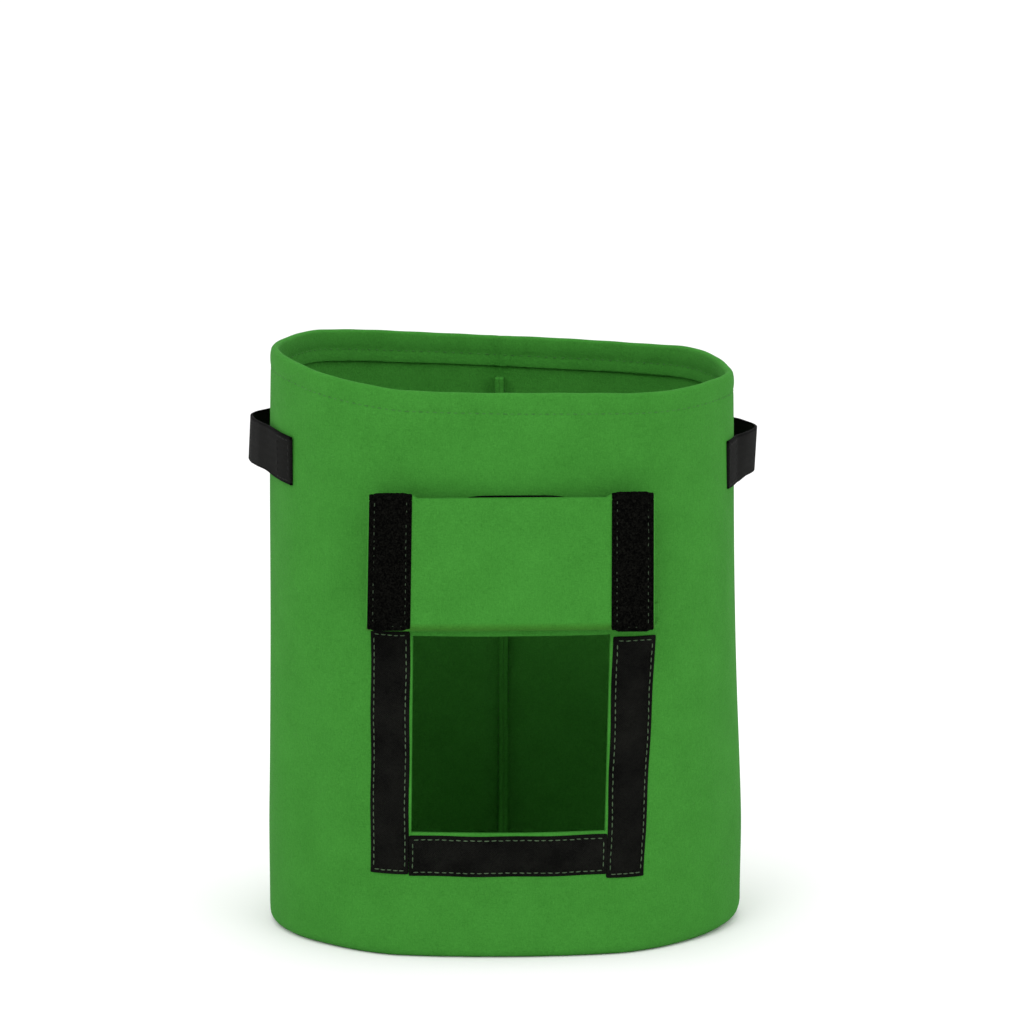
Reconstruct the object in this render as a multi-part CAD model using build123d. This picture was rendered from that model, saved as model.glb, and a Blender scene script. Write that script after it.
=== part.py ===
from build123d import *
import math
import os

# Fabric grow bag with a harvest window. Millimetres, +Z up, the front faces -Y.
# The origin is on the floor, under the middle of the bag's width and depth.
# A D-shaped felt tube is sewn to a felt base. The window in the front is framed by three
# hook tapes, and closed by a felt flap with three loop tapes, which is stowed folded in
# three above the window. Two webbing handles stand off the sides.

# Bag
BAG_WIDTH = 300.0
BAG_HEIGHT = 350.0
FELT = 3.0
FRONT_RADIUS = 400.0
FRONT_HALF_WIDTH = 66.0
HEM_DEPTH = 20.0
HEM_FELT = 2.5
HEM_STITCH_DROP = 13.0
BASE_LIP_HEIGHT = 14.0
BASE_LIP_STITCH_HEIGHT = 9.0
BACK_SEAM_WIDTH = 10.0

# Window and its frame of tapes
WINDOW_HALF_WIDTH = 60.5
WINDOW_BOTTOM = 77.0
WINDOW_TOP = 201.0
WINDOW_CUT_DEPTH = 15.0
TAPE_WIDTH = 25.5
TAPE_THICKNESS = 1.0
TAPE_INNER_X = 62.0
TAPE_OUTER_X = TAPE_INNER_X + TAPE_WIDTH
FRAME_BOTTOM = 50.0
FRAME_TOP = 202.5

# Flap, stowed folded in three
FLAP_FELT = 2.2
FLAP_HALF_WIDTH = 88.0
FLAP_HINGE_Z = 204.0
FLAP_UPPER_LENGTH = 82.0
FLAP_FOLD_LENGTH = 36.0
FLAP_EDGE_GAP = 0.5
FLAP_TAPE_START = 4.0
FLAP_STRIP_BOTTOM = 205.5
FLAP_STRIP_HEIGHT = 12.0
LAYER_GAP = 0.4

# Handles
WEBBING_WIDTH = 30.0
WEBBING_THICKNESS = 1.6
HANDLE_CENTRE_Z = 300.0
HANDLE_STAND_OFF = 13.0
HANDLE_HALF_SPAN = 50.0
HANDLE_TAB_LENGTH = 25.0
HANDLE_MOVING_HALF = 28.0
HANDLE_CUT_GAP = 0.5

# Stitching
THREAD_WIDTH = 0.8
THREAD_PROUD = 0.4
THREAD_LIFT = 0.02
STITCH_LENGTH = 3.0
STITCH_PITCH = 4.4
HIDDEN_PITCH = 6.0
STITCH_MARGIN = 2.5

# Plan outline: a wide front arc, two side arcs and a half circle at the back, all tangent
HALF_WIDTH = BAG_WIDTH / 2
FRONT_ANGLE = math.asin(FRONT_HALF_WIDTH / FRONT_RADIUS)
SIDE_RADIUS = (HALF_WIDTH - FRONT_HALF_WIDTH) / (1 - math.sin(FRONT_ANGLE))
SIDE_CENTRE_X = HALF_WIDTH - SIDE_RADIUS
FRONT_TO_WIDEST = (
    FRONT_RADIUS * (1 - math.cos(FRONT_ANGLE)) + SIDE_RADIUS * math.cos(FRONT_ANGLE)
)
BAG_DEPTH = FRONT_TO_WIDEST + HALF_WIDTH
FRONT_Y = -BAG_DEPTH / 2
WIDEST_Y = FRONT_Y + FRONT_TO_WIDEST
FRONT_LENGTH = FRONT_RADIUS * FRONT_ANGLE
SIDE_LENGTH = SIDE_RADIUS * (math.pi / 2 - FRONT_ANGLE)
BACK_LENGTH = HALF_WIDTH * math.pi / 2
HALF_GIRTH = FRONT_LENGTH + SIDE_LENGTH + BACK_LENGTH

# Layers of the stowed flap, as distances in front of the wall's outer face at its middle
THREAD_STACK = THREAD_LIFT + THREAD_PROUD
TAPED_FACE = TAPE_THICKNESS + THREAD_STACK
LOWER_LAYER = LAYER_GAP + FLAP_FELT / 2
MIDDLE_LAYER = LOWER_LAYER + FLAP_FELT + 2 * TAPED_FACE + LAYER_GAP
UPPER_LAYER = MIDDLE_LAYER + FLAP_FELT + LAYER_GAP
CLOSED_LAYER = 2 * TAPED_FACE + LAYER_GAP + FLAP_FELT / 2
UPPER_TOP_Z = FLAP_HINGE_Z + FLAP_UPPER_LENGTH
MIDDLE_BOTTOM_Z = UPPER_TOP_Z - FLAP_FOLD_LENGTH
FLAP_HINGE_Y = FRONT_Y - (UPPER_LAYER + CLOSED_LAYER) / 2
UPPER_FOLD_Y = FRONT_Y - (UPPER_LAYER + MIDDLE_LAYER) / 2
LOWER_FOLD_Y = FRONT_Y - (MIDDLE_LAYER + LOWER_LAYER) / 2


def outline_at(along, out=0.0):
    """The point at a distance along the outline from the front's middle, positive to the right.

    It is moved outwards by out, and comes with the turn of the outline's normal from -Y."""
    side = math.copysign(1, along)
    distance = abs(along)
    if distance <= FRONT_LENGTH:
        turn = distance / FRONT_RADIUS
        centre = (0, FRONT_Y + FRONT_RADIUS)
        radius = FRONT_RADIUS
    elif distance <= FRONT_LENGTH + SIDE_LENGTH:
        turn = FRONT_ANGLE + (distance - FRONT_LENGTH) / SIDE_RADIUS
        centre = (SIDE_CENTRE_X, WIDEST_Y)
        radius = SIDE_RADIUS
    else:
        turn = math.pi / 2 + (distance - FRONT_LENGTH - SIDE_LENGTH) / HALF_WIDTH
        centre = (0, WIDEST_Y)
        radius = HALF_WIDTH
    x = centre[0] + (radius + out) * math.sin(turn)
    y = centre[1] - (radius + out) * math.cos(turn)
    return side * x, y, side * turn


def outline_face(out):
    """The bag's plan outline, moved outwards by out."""
    front_left = outline_at(-FRONT_LENGTH, out)[:2]
    front_right = outline_at(FRONT_LENGTH, out)[:2]
    side = FRONT_LENGTH + SIDE_LENGTH
    mid_side = FRONT_LENGTH + SIDE_LENGTH / 2
    with BuildSketch() as sketch:
        with BuildLine():
            ThreePointArc(front_left, outline_at(0, out)[:2], front_right)
            ThreePointArc(front_right, outline_at(mid_side, out)[:2], outline_at(side, out)[:2])
            ThreePointArc(
                outline_at(side, out)[:2],
                outline_at(HALF_GIRTH, out)[:2],
                outline_at(-side, out)[:2],
            )
            ThreePointArc(outline_at(-side, out)[:2], outline_at(-mid_side, out)[:2], front_left)
        make_face()
    return sketch.sketch


def tube(outer, inner, low, high):
    """A ring that follows the outline between two outward moves and two heights."""
    ring = outline_face(outer) - outline_face(inner)
    return Pos(0, 0, low) * extrude(ring, high - low)


def block(x0, x1, y0, y1, z0, z1):
    """A box between two corners."""
    return Pos((x0 + x1) / 2, (y0 + y1) / 2, (z0 + z1) / 2) * Box(x1 - x0, y1 - y0, z1 - z0)


def front_patch(x0, x1, low, high, thickness):
    """A strip of cloth lying on the wall's outer face, on the front."""
    return tube(thickness, 0, low, high) & block(x0, x1, FRONT_Y - BAG_DEPTH, 0, low, high)


def stitch(x, y, z, turn, upright, outward=True):
    """One stitch on a face whose normal is turned from -Y, along the face or upright."""
    length, height = (THREAD_WIDTH, STITCH_LENGTH) if upright else (STITCH_LENGTH, THREAD_WIDTH)
    lift = (THREAD_LIFT + THREAD_PROUD / 2) * (1 if outward else -1)
    where = Pos(x + lift * math.sin(turn), y - lift * math.cos(turn), z)
    return where * Rot(0, 0, math.degrees(turn)) * Box(length, THREAD_PROUD, height)


def spaced(start, end, pitch):
    """The middles of the stitches of a row from start to end."""
    count = max(1, round(abs(end - start) / pitch))
    step = (end - start) / count
    return [start + (i + 0.5) * step for i in range(count)]


def ring_row(z, out, outward, pitch):
    """A row of stitches all round the bag."""
    stitches = []
    for along in spaced(-HALF_GIRTH, HALF_GIRTH, pitch):
        x, y, turn = outline_at(along, out)
        stitches.append(stitch(x, y, z, turn, False, outward))
    return stitches


def wall_row(start, end, z, out):
    """A level row of stitches on the wall, between two distances along the outline."""
    stitches = []
    for along in spaced(start, end, STITCH_PITCH):
        x, y, turn = outline_at(along, out)
        stitches.append(stitch(x, y, z, turn, False))
    return stitches


def wall_column(along, low, high, out):
    """An upright row of stitches on the wall."""
    x, y, turn = outline_at(along, out)
    return [stitch(x, y, z, turn, True) for z in spaced(low, high, STITCH_PITCH)]


def wall_rectangle(start, end, low, high, out):
    """A rectangle of stitches just inside the edges of a tape on the wall."""
    m = STITCH_MARGIN
    rows = wall_row(start + m, end - m, low + m, out) + wall_row(start + m, end - m, high - m, out)
    inner = (low + 2 * m, high - 2 * m)
    return rows + wall_column(start + m, *inner, out) + wall_column(end - m, *inner, out)


def flat_rectangle(x0, x1, low, high, y, facing):
    """A rectangle of stitches on a flat upright face that faces -Y (1) or +Y (-1)."""
    m = STITCH_MARGIN
    outward = facing > 0
    stitches = []
    for z in (low + m, high - m):
        stitches += [stitch(x, y, z, 0, False, outward) for x in spaced(x0 + m, x1 - m, STITCH_PITCH)]
    for x in (x0 + m, x1 - m):
        column = spaced(low + 2 * m, high - 2 * m, STITCH_PITCH)
        stitches += [stitch(x, y, z, 0, True, outward) for z in column]
    return stitches


def along_at_x(x):
    """The distance along the outline at which the front or side reaches x."""
    distance = abs(x)
    if distance <= FRONT_HALF_WIDTH:
        along = FRONT_RADIUS * math.asin(distance / FRONT_RADIUS)
    else:
        turn = math.asin((distance - SIDE_CENTRE_X) / SIDE_RADIUS)
        along = FRONT_LENGTH + SIDE_RADIUS * (turn - FRONT_ANGLE)
    return math.copysign(along, x)


# Wall: one felt strip made into a tube, whose two ends stand inwards at the back as a seam
def make_wall():
    wall = tube(0, -FELT, 0, BAG_HEIGHT)
    wall -= block(
        -WINDOW_HALF_WIDTH, WINDOW_HALF_WIDTH, FRONT_Y - FELT, FRONT_Y - FELT + WINDOW_CUT_DEPTH,
        WINDOW_BOTTOM, WINDOW_TOP,
    )
    inner_back = BAG_DEPTH / 2 - FELT
    seam = block(
        -FELT, FELT, inner_back - BACK_SEAM_WIDTH, inner_back + FELT / 2,
        BASE_LIP_HEIGHT + FELT, BAG_HEIGHT - HEM_DEPTH - FELT,
    )
    return wall + seam


def make_back_seam_stitching():
    y = BAG_DEPTH / 2 - FELT - BACK_SEAM_WIDTH / 2
    low = BASE_LIP_HEIGHT + 2 * FELT
    high = BAG_HEIGHT - HEM_DEPTH - 2 * FELT
    stitches = []
    for turn, x in ((math.pi / 2, FELT), (-math.pi / 2, -FELT)):
        stitches += [stitch(x, y, z, turn, True) for z in spaced(low, high, HIDDEN_PITCH)]
    return stitches


# Base: a felt panel whose edge turns up inside the wall, where it is sewn
def make_base():
    floor = extrude(outline_face(-FELT), FELT)
    return floor + tube(-FELT, -2 * FELT, 0, BASE_LIP_HEIGHT)


def make_rim_hem():
    return tube(-FELT, -FELT - HEM_FELT, BAG_HEIGHT - HEM_DEPTH, BAG_HEIGHT)


def make_rim_hem_stitching():
    z = BAG_HEIGHT - HEM_STITCH_DROP
    outside = ring_row(z, 0, True, STITCH_PITCH)
    return outside + ring_row(z, -FELT - HEM_FELT, False, HIDDEN_PITCH)


# Handles: webbing upright on edge, sewn to the wall at both ends and standing off between
TAB_OUT = WEBBING_THICKNESS / 2
HANDLE_LOW = HANDLE_CENTRE_Z - WEBBING_WIDTH / 2
HANDLE_HIGH = HANDLE_CENTRE_Z + WEBBING_WIDTH / 2


def side_x(y, out):
    """The right side's x at a given y, moved outwards by out."""
    if y < WIDEST_Y:
        return SIDE_CENTRE_X + math.sqrt((SIDE_RADIUS + out) ** 2 - (y - WIDEST_Y) ** 2)
    return math.sqrt((HALF_WIDTH + out) ** 2 - (y - WIDEST_Y) ** 2)


LOOP_FRONT = Vector(side_x(-HANDLE_HALF_SPAN, TAB_OUT), -HANDLE_HALF_SPAN)
LOOP_BACK = Vector(side_x(HANDLE_HALF_SPAN, TAB_OUT), HANDLE_HALF_SPAN)
LOOP_TOP = Vector(HALF_WIDTH + HANDLE_STAND_OFF - TAB_OUT, 0)
HANDLE_AXIS_POINT = (LOOP_FRONT + LOOP_BACK) / 2
HANDLE_AXIS = (LOOP_BACK - LOOP_FRONT).normalized()


def make_handle_strap():
    """The right-hand strap, before it is cut into its sewn ends and its free run."""
    arc = ThreePointArc(LOOP_FRONT, LOOP_TOP, LOOP_BACK)
    centre = arc.arc_center
    radius = arc.radius
    ring = Circle(radius + TAB_OUT) - Circle(radius - TAB_OUT)
    loop = Pos(centre.X, centre.Y, HANDLE_LOW) * extrude(ring, WEBBING_WIDTH)
    turn = math.degrees(math.atan2(HANDLE_AXIS.Y, HANDLE_AXIS.X))
    half_chord = (LOOP_BACK - LOOP_FRONT).length / 2
    on_axis = Pos(HANDLE_AXIS_POINT.X, HANDLE_AXIS_POINT.Y, HANDLE_CENTRE_Z) * Rot(0, 0, turn)
    loop &= on_axis * Pos(0, -half_chord, 0) * Box(2 * half_chord, 2 * half_chord, 2 * WEBBING_WIDTH)
    skin = tube(WEBBING_THICKNESS, 0, HANDLE_LOW, HANDLE_HIGH)
    near = HANDLE_HALF_SPAN - WEBBING_THICKNESS
    far = HANDLE_HALF_SPAN + HANDLE_TAB_LENGTH
    for y0, y1 in ((-far, -near), (near, far)):
        loop += skin & block(0, BAG_WIDTH, y0, y1, HANDLE_LOW, HANDLE_HIGH)
    return loop, on_axis


def make_handle_pieces():
    """The two sewn ends, and the free run between them, of the right-hand handle."""
    strap, on_axis = make_handle_strap()
    run = 2 * HANDLE_MOVING_HALF
    tall = 2 * WEBBING_WIDTH
    free_run = strap & (on_axis * Box(run, BAG_WIDTH, tall))
    ends = strap - (on_axis * Box(run + 2 * HANDLE_CUT_GAP, BAG_WIDTH, tall))
    return ends, free_run


def along_at_side_y(y):
    """The distance along the outline at which the right side reaches y."""
    if y < WIDEST_Y:
        turn = math.acos((WIDEST_Y - y) / SIDE_RADIUS)
        return FRONT_LENGTH + SIDE_RADIUS * (turn - FRONT_ANGLE)
    return FRONT_LENGTH + SIDE_LENGTH + HALF_WIDTH * math.asin((y - WIDEST_Y) / HALF_WIDTH)


def make_handle_stitching(side):
    stitches = []
    span = HANDLE_HALF_SPAN
    for y0, y1 in ((-span - HANDLE_TAB_LENGTH, -span), (span, span + HANDLE_TAB_LENGTH)):
        start = along_at_side_y(y0)
        end = along_at_side_y(y1)
        box = (start, end) if side > 0 else (-end, -start)
        stitches += wall_rectangle(*box, HANDLE_LOW, HANDLE_HIGH, WEBBING_THICKNESS)
    return stitches


# Flap: three flat lengths of felt, each with the part of the side tapes that is sewn to it
def flap_layer(layer, low, high, facing):
    """The felt of one length, its tapes' near and far faces, for tapes that face -Y or +Y."""
    y = FRONT_Y - layer
    half = FLAP_FELT / 2
    felt = block(-FLAP_HALF_WIDTH, FLAP_HALF_WIDTH, y - half, y + half, low, high)
    near = y - facing * half
    far = near - facing * TAPE_THICKNESS
    return felt, near, far


def flap_tape(x0, x1, low, high, near, far):
    return block(x0, x1, min(near, far), max(near, far), low, high)


def write(name, shape):
    """Write one node: a shape, or a list of separate solids."""
    solids = Compound(children=shape) if isinstance(shape, list) else shape
    export_step(solids, f"parts/{name}.step")


def write_bag():
    write("wall_panel", make_wall())
    write("base_panel", make_base())
    write("rim_hem", make_rim_hem())
    write("rim_hem_stitching", make_rim_hem_stitching())
    seam_z = BASE_LIP_STITCH_HEIGHT
    write("base_seam_stitching", ring_row(seam_z, -2 * FELT, False, HIDDEN_PITCH))
    write("back_seam_stitching", make_back_seam_stitching())


def write_window_frame():
    tapes = {
        "left": (-TAPE_OUTER_X, -TAPE_INNER_X, FRAME_TOP),
        "right": (TAPE_INNER_X, TAPE_OUTER_X, FRAME_TOP),
        "bottom": (-TAPE_INNER_X, TAPE_INNER_X, FRAME_BOTTOM + TAPE_WIDTH),
    }
    for name, (x0, x1, top) in tapes.items():
        write(f"window_tape_{name}", front_patch(x0, x1, FRAME_BOTTOM, top, TAPE_THICKNESS))
        span = (along_at_x(x0), along_at_x(x1))
        stitches = wall_rectangle(*span, FRAME_BOTTOM, top, TAPE_THICKNESS)
        write(f"window_tape_{name}_stitching", stitches)


def write_handles():
    ends, free_run = make_handle_pieces()
    for name, side in (("right", 1), ("left", -1)):
        pieces = (ends, free_run) if side > 0 else (ends.mirror(Plane.YZ), free_run.mirror(Plane.YZ))
        write(f"handle_{name}_ends", pieces[0])
        write(f"handle_{name}_loop", pieces[1])
        write(f"handle_{name}_stitching", make_handle_stitching(side))


def write_flap():
    top = FLAP_STRIP_BOTTOM + FLAP_STRIP_HEIGHT
    strip = front_patch(-FLAP_HALF_WIDTH, FLAP_HALF_WIDTH, FLAP_STRIP_BOTTOM, top, FLAP_FELT)
    write("flap_seam_strip", strip)
    reach = along_at_x(FLAP_HALF_WIDTH - STITCH_MARGIN)
    rows = []
    for z in (FLAP_STRIP_BOTTOM + STITCH_MARGIN, top - STITCH_MARGIN):
        rows += wall_row(-reach, reach, z, FLAP_FELT)
    write("flap_seam_stitching", rows)

    gap = FLAP_EDGE_GAP
    lengths = {
        "upper": (UPPER_LAYER, FLAP_HINGE_Z + gap, UPPER_TOP_Z - gap, 1),
        "middle": (MIDDLE_LAYER, MIDDLE_BOTTOM_Z + gap, UPPER_TOP_Z - gap, -1),
        "lower": (LOWER_LAYER, MIDDLE_BOTTOM_Z + gap, UPPER_TOP_Z - gap, 1),
    }
    for name, (layer, low, high, facing) in lengths.items():
        felt, near, far = flap_layer(layer, low, high, facing)
        write(f"flap_{name}_panel", felt)
        tape_low = low + FLAP_TAPE_START if name == "upper" else low
        stitches = []
        for side, x0 in (("left", -TAPE_OUTER_X), ("right", TAPE_INNER_X)):
            box = (x0, x0 + TAPE_WIDTH, tape_low, high)
            write(f"flap_{name}_tape_{side}", flap_tape(*box, near, far))
            stitches += flat_rectangle(*box, far, facing)
        if name == "lower":
            # The flap's free edge is the top of this length, and its tape runs along it.
            box = (-TAPE_INNER_X, TAPE_INNER_X, high - TAPE_WIDTH, high)
            write("flap_lower_tape_bottom", flap_tape(*box, near, far))
            stitches += flat_rectangle(*box, far, facing)
        write(f"flap_{name}_stitching", stitches)


os.makedirs("parts", exist_ok=True)
write_bag()
write_window_frame()
write_handles()
write_flap()
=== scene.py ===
import math
import random

import bpy
import numpy as np
from mathutils import Matrix, Vector


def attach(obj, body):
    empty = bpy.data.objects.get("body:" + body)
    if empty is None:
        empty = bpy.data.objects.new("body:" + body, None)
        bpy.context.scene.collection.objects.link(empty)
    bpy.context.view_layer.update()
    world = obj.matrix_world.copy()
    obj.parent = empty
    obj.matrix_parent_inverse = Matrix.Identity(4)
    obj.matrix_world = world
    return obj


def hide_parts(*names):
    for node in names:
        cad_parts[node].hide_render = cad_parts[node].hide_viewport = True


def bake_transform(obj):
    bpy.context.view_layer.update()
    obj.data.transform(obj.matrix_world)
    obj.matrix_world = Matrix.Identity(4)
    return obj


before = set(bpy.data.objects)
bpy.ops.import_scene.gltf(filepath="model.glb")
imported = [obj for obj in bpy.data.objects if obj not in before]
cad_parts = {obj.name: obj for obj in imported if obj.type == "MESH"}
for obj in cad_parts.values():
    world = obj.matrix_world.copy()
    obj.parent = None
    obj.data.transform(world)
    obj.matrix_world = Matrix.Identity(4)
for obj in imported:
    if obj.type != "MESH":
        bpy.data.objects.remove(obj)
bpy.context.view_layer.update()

# The fabric grow bag's looks. Shapes are worked out in millimetres and written in metres.
rng = random.Random(7)

# Bag, as in the frame
BAG_WIDTH = 300.0
BAG_HEIGHT = 350.0
FELT = 3.0
HEM_FELT = 2.6
HEM_DEPTH = 20.0
HEM_BOTTOM = BAG_HEIGHT - HEM_DEPTH
RIM_ROUND = (FELT + HEM_FELT) / 2
RIM_ROUND_Z = BAG_HEIGHT - RIM_ROUND
HEM_STITCH_Z = 337.5
BOTTOM_RADIUS = 5.5
FRONT_RADIUS = 400.0
FRONT_HALF_WIDTH = 66.0
HALF_WIDTH = BAG_WIDTH / 2
FRONT_ANGLE = math.asin(FRONT_HALF_WIDTH / FRONT_RADIUS)
SIDE_RADIUS = (HALF_WIDTH - FRONT_HALF_WIDTH) / (1 - math.sin(FRONT_ANGLE))
SIDE_CENTRE_X = HALF_WIDTH - SIDE_RADIUS
FRONT_TO_WIDEST = FRONT_RADIUS * (1 - math.cos(FRONT_ANGLE)) + SIDE_RADIUS * math.cos(FRONT_ANGLE)
BAG_DEPTH = FRONT_TO_WIDEST + HALF_WIDTH
FRONT_Y = -BAG_DEPTH / 2
WIDEST_Y = FRONT_Y + FRONT_TO_WIDEST
FRONT_LENGTH = FRONT_RADIUS * FRONT_ANGLE
SIDE_LENGTH = SIDE_RADIUS * (math.pi / 2 - FRONT_ANGLE)
HALF_GIRTH = FRONT_LENGTH + SIDE_LENGTH + HALF_WIDTH * math.pi / 2

# How the soft bag stands: what its rim rises by, all round and at places, and how its foot swells
RIM_NARROWING = 0.034
RIM_RISE = 3.5
RIM_RISE_LEFT = 7.5
RIM_RISE_SIDES = 4.5
RIM_RISE_BACK = 5.0
RISE_FROM = 200.0
FOOT_SWELL = 8.5
FOOT_SWELL_HEIGHT = 41.0
FOOT_TUCK_LEFT = 1.0
FOOT_TUCK_RIGHT = 4.4
FOOT_TUCK_HEIGHT = 12.0

# Slow waves in the wall: size, waves in a girth, slant and phase
RIPPLES = [(1.0, 5, 0.011, 0.6), (0.8, 9, -0.017, 2.1), (0.35, 15, 0.028, 4.0)]
RIPPLE_SIZE = 0.8

# Window and tapes. A loop tape has a woven edge (PILE_EDGE) and is sewn PILE_MARGIN inside its edges.
WINDOW_HALF = 60.5
WINDOW_BOTTOM = 76.6
WINDOW_TOP = 199.7
FRAME_BOTTOM = 50.4
FRAME_TOP = 202.6
TAPE_WIDTH = 25.5
TAPE_INNER = 61.8
TAPE_THICK = 1.05
TAPE_RAISED = 0.02
TAPE_SUNK = 0.3
PILE_EDGE = 2.9
PILE_MARGIN = 3.3
PILE_THICK = 1.45

# Flap: the heights of its hinge and folds, its three lengths' y, and the roll over the window's head
FLAP_FELT = 2.2
HALF_FELT = FLAP_FELT / 2
FLAP_HALF = 88.0
HINGE_Z = 204.0
FLAP_TOP_Z = 286.0
FLAP_INNER_Z = 250.0
LOWER_Y = FRONT_Y - 1.5
MIDDLE_Y = FRONT_Y - 6.94
UPPER_Y = FRONT_Y - 9.54
UPPER_FOLD_Y = (UPPER_Y + MIDDLE_Y) / 2
LOWER_FOLD_Y = (MIDDLE_Y + LOWER_Y) / 2
HINGE_FOLD_Z = 210.1
HINGE_FOLD_DROP = 5.0
HINGE_BLEND_Y = (-129.8, -135.6)
STRIP_TOP = 218.0
STRIP_RAISED = 0.1
STRIP_STITCH_Z = (212.4, 215.6)
TAPE_LOW = {"left": 206.6, "right": 205.2}
TOP_PRESSED = 0.72
INNER_SQUARED = 0.5

# Handles: HANDLE_TAB is the length sewn down at each end, and HANDLE_CUT_Y is where the halves meet
WEBBING = 1.7
WEBBING_WIDTH = 30.0
WOVEN_BORDER = 1.7
HANDLE_TAB = 24.0
HANDLE_CUT_Y = 8.0
HANDLE_DRAWN_UP = 1.8
PATH_STEP = 0.5
PATH_EASE = 12

# Thread
STITCH = 3.1
PITCH = 4.4
HIDDEN_PITCH = 6.0
MARGIN = 2.5

# A cloth's thickness at its cut edge and a tape's at its woven edge, as shares, and the edge's round
CUT_EDGE = 0.45
WOVEN_EDGE = 0.55
EDGE_ROUND = 0.7


def smooth(t):
    """An eased step from 0 at t = 0 to 1 at t = 1."""
    t = np.clip(t, 0, 1)
    return t * t * (3 - 2 * t)


def bump(t):
    """A hill that is 1 at t = 0 and fades away by about t = 2."""
    return np.exp(-(t ** 2))


def stacked(x, y, z):
    return np.stack(np.broadcast_arrays(x, y, z), -1)


def outline(along, out):
    """Plan point and turn of the outward normal, at a distance along the outline from its front."""
    along, out = np.broadcast_arrays(np.asarray(along, float), np.asarray(out, float))
    side = np.where(along < 0, -1.0, 1.0)
    far = np.abs(along)
    front = far <= FRONT_LENGTH
    flank = far <= FRONT_LENGTH + SIDE_LENGTH
    turn = np.where(
        front,
        far / FRONT_RADIUS,
        np.where(
            flank,
            FRONT_ANGLE + (far - FRONT_LENGTH) / SIDE_RADIUS,
            math.pi / 2 + (far - FRONT_LENGTH - SIDE_LENGTH) / HALF_WIDTH,
        ),
    )
    centre_x = np.where(front | ~flank, 0.0, SIDE_CENTRE_X)
    centre_y = np.where(front, FRONT_Y + FRONT_RADIUS, WIDEST_Y)
    radius = np.where(front, FRONT_RADIUS, np.where(flank, SIDE_RADIUS, HALF_WIDTH))
    x = side * (centre_x + (radius + out) * np.sin(turn))
    y = centre_y - (radius + out) * np.cos(turn)
    return x, y, side * turn


def turn_at(x, y):
    """The turn of the outline's normal nearest to a plan point."""
    far = np.abs(x)
    a = np.arctan2(far, FRONT_Y + FRONT_RADIUS - y)
    b = np.arctan2(far - SIDE_CENTRE_X, WIDEST_Y - y)
    c = np.arctan2(far, WIDEST_Y - y)
    turn = np.where(a <= FRONT_ANGLE, a, np.where(b <= math.pi / 2, b, c))
    return np.where(x < 0, -turn, turn)


# How far the front's felt is drawn to the right at these x, at the window's foot and at its head
DRAWN_X = [-135, -85.7, -60.3, 0, 60.3, 85.7, 135]
DRAWN_LOW = [0, 1.8, 0.5, 0.2, 0.0, -1.3, 0]
DRAWN_HIGH = [0, 2.1, 2.1, 3.4, 4.9, 7.4, 0]


def settle(x, y, z, turn=None):
    """How the bag stands: it narrows to the rim, the rim rises on the left, and the foot swells in front.

    turn is the outward normal's turn from the front, in radians, and below 0 on the left."""
    if turn is None:
        turn = turn_at(x, y)
    away = np.abs(turn)
    lift = RIM_RISE - RIM_RISE_LEFT * np.sin(turn) - RIM_RISE_SIDES * np.cos(2 * turn)
    lift = lift + RIM_RISE_BACK * smooth((away - 1.62) / 0.6)
    lift = lift * smooth((z - RISE_FROM) / (BAG_HEIGHT - RISE_FROM))
    k = np.clip((z - 50) / 150, 0, 1)
    drawn = (1 - k) * np.interp(x, DRAWN_X, DRAWN_LOW) + k * np.interp(x, DRAWN_X, DRAWN_HIGH)
    drawn = drawn * smooth((1.35 - away) / 0.5) * smooth(z / 45) * (1 - smooth((z - 215) / 70))
    tucked = np.where(turn < 0, FOOT_TUCK_LEFT, FOOT_TUCK_RIGHT) * smooth((away - 0.5) / 0.7)
    tucked = tucked * np.clip(1 - z / FOOT_TUCK_HEIGHT, 0, 1) ** 2
    swollen = FOOT_SWELL * smooth((0.75 - away) / 0.7) * smooth(1 - z / FOOT_SWELL_HEIGHT)
    inwards = tucked - swollen
    x = x * (1 - RIM_NARROWING * (z / BAG_HEIGHT)) - inwards * np.sin(turn) + drawn
    return x, y + inwards * np.cos(turn), z + lift


def ripple(along, z):
    """Slow waves in the wall, smaller round the window and near the base."""
    a = np.asarray(along) * math.pi / HALF_GIRTH
    waves = sum(size * np.sin(count * a + slant * z + phase) for size, count, slant, phase in RIPPLES)
    calm = 1 - 0.7 * smooth((150 - np.abs(along)) / 50)
    return waves * calm * smooth((z - 5) / 70) * RIPPLE_SIZE


def wall(along, z, out):
    """A point on or off the wall's outer face, as the bag stands."""
    x, y, turn = outline(along, out + ripple(along, z))
    return stacked(*settle(x, y, np.asarray(z, float), turn))


# Meshes
def mesh_object(name, points, faces, st=None, crease=50):
    """A mesh from points in millimetres. st is each point's place on the cloth, and its side."""
    points = np.asarray(points, float).reshape(-1, 3) * 0.001
    mesh = bpy.data.meshes.new(name)
    mesh.from_pydata(points.tolist(), [], faces)
    mesh.validate()
    mesh.polygons.foreach_set("use_smooth", [True] * len(mesh.polygons))
    mesh.set_sharp_from_angle(angle=math.radians(crease))
    if st is not None and len(mesh.vertices) == len(points):
        place = mesh.attributes.new("st", "FLOAT_VECTOR", "POINT")
        flat = np.zeros((len(points), 3), np.float32)
        flat[:, : st.shape[-1]] = st.reshape(-1, st.shape[-1])
        place.data.foreach_set("vector", flat.ravel())
    mesh.update()
    piece = bpy.data.objects.new(name, mesh)
    bpy.context.scene.collection.objects.link(piece)
    return piece


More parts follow.
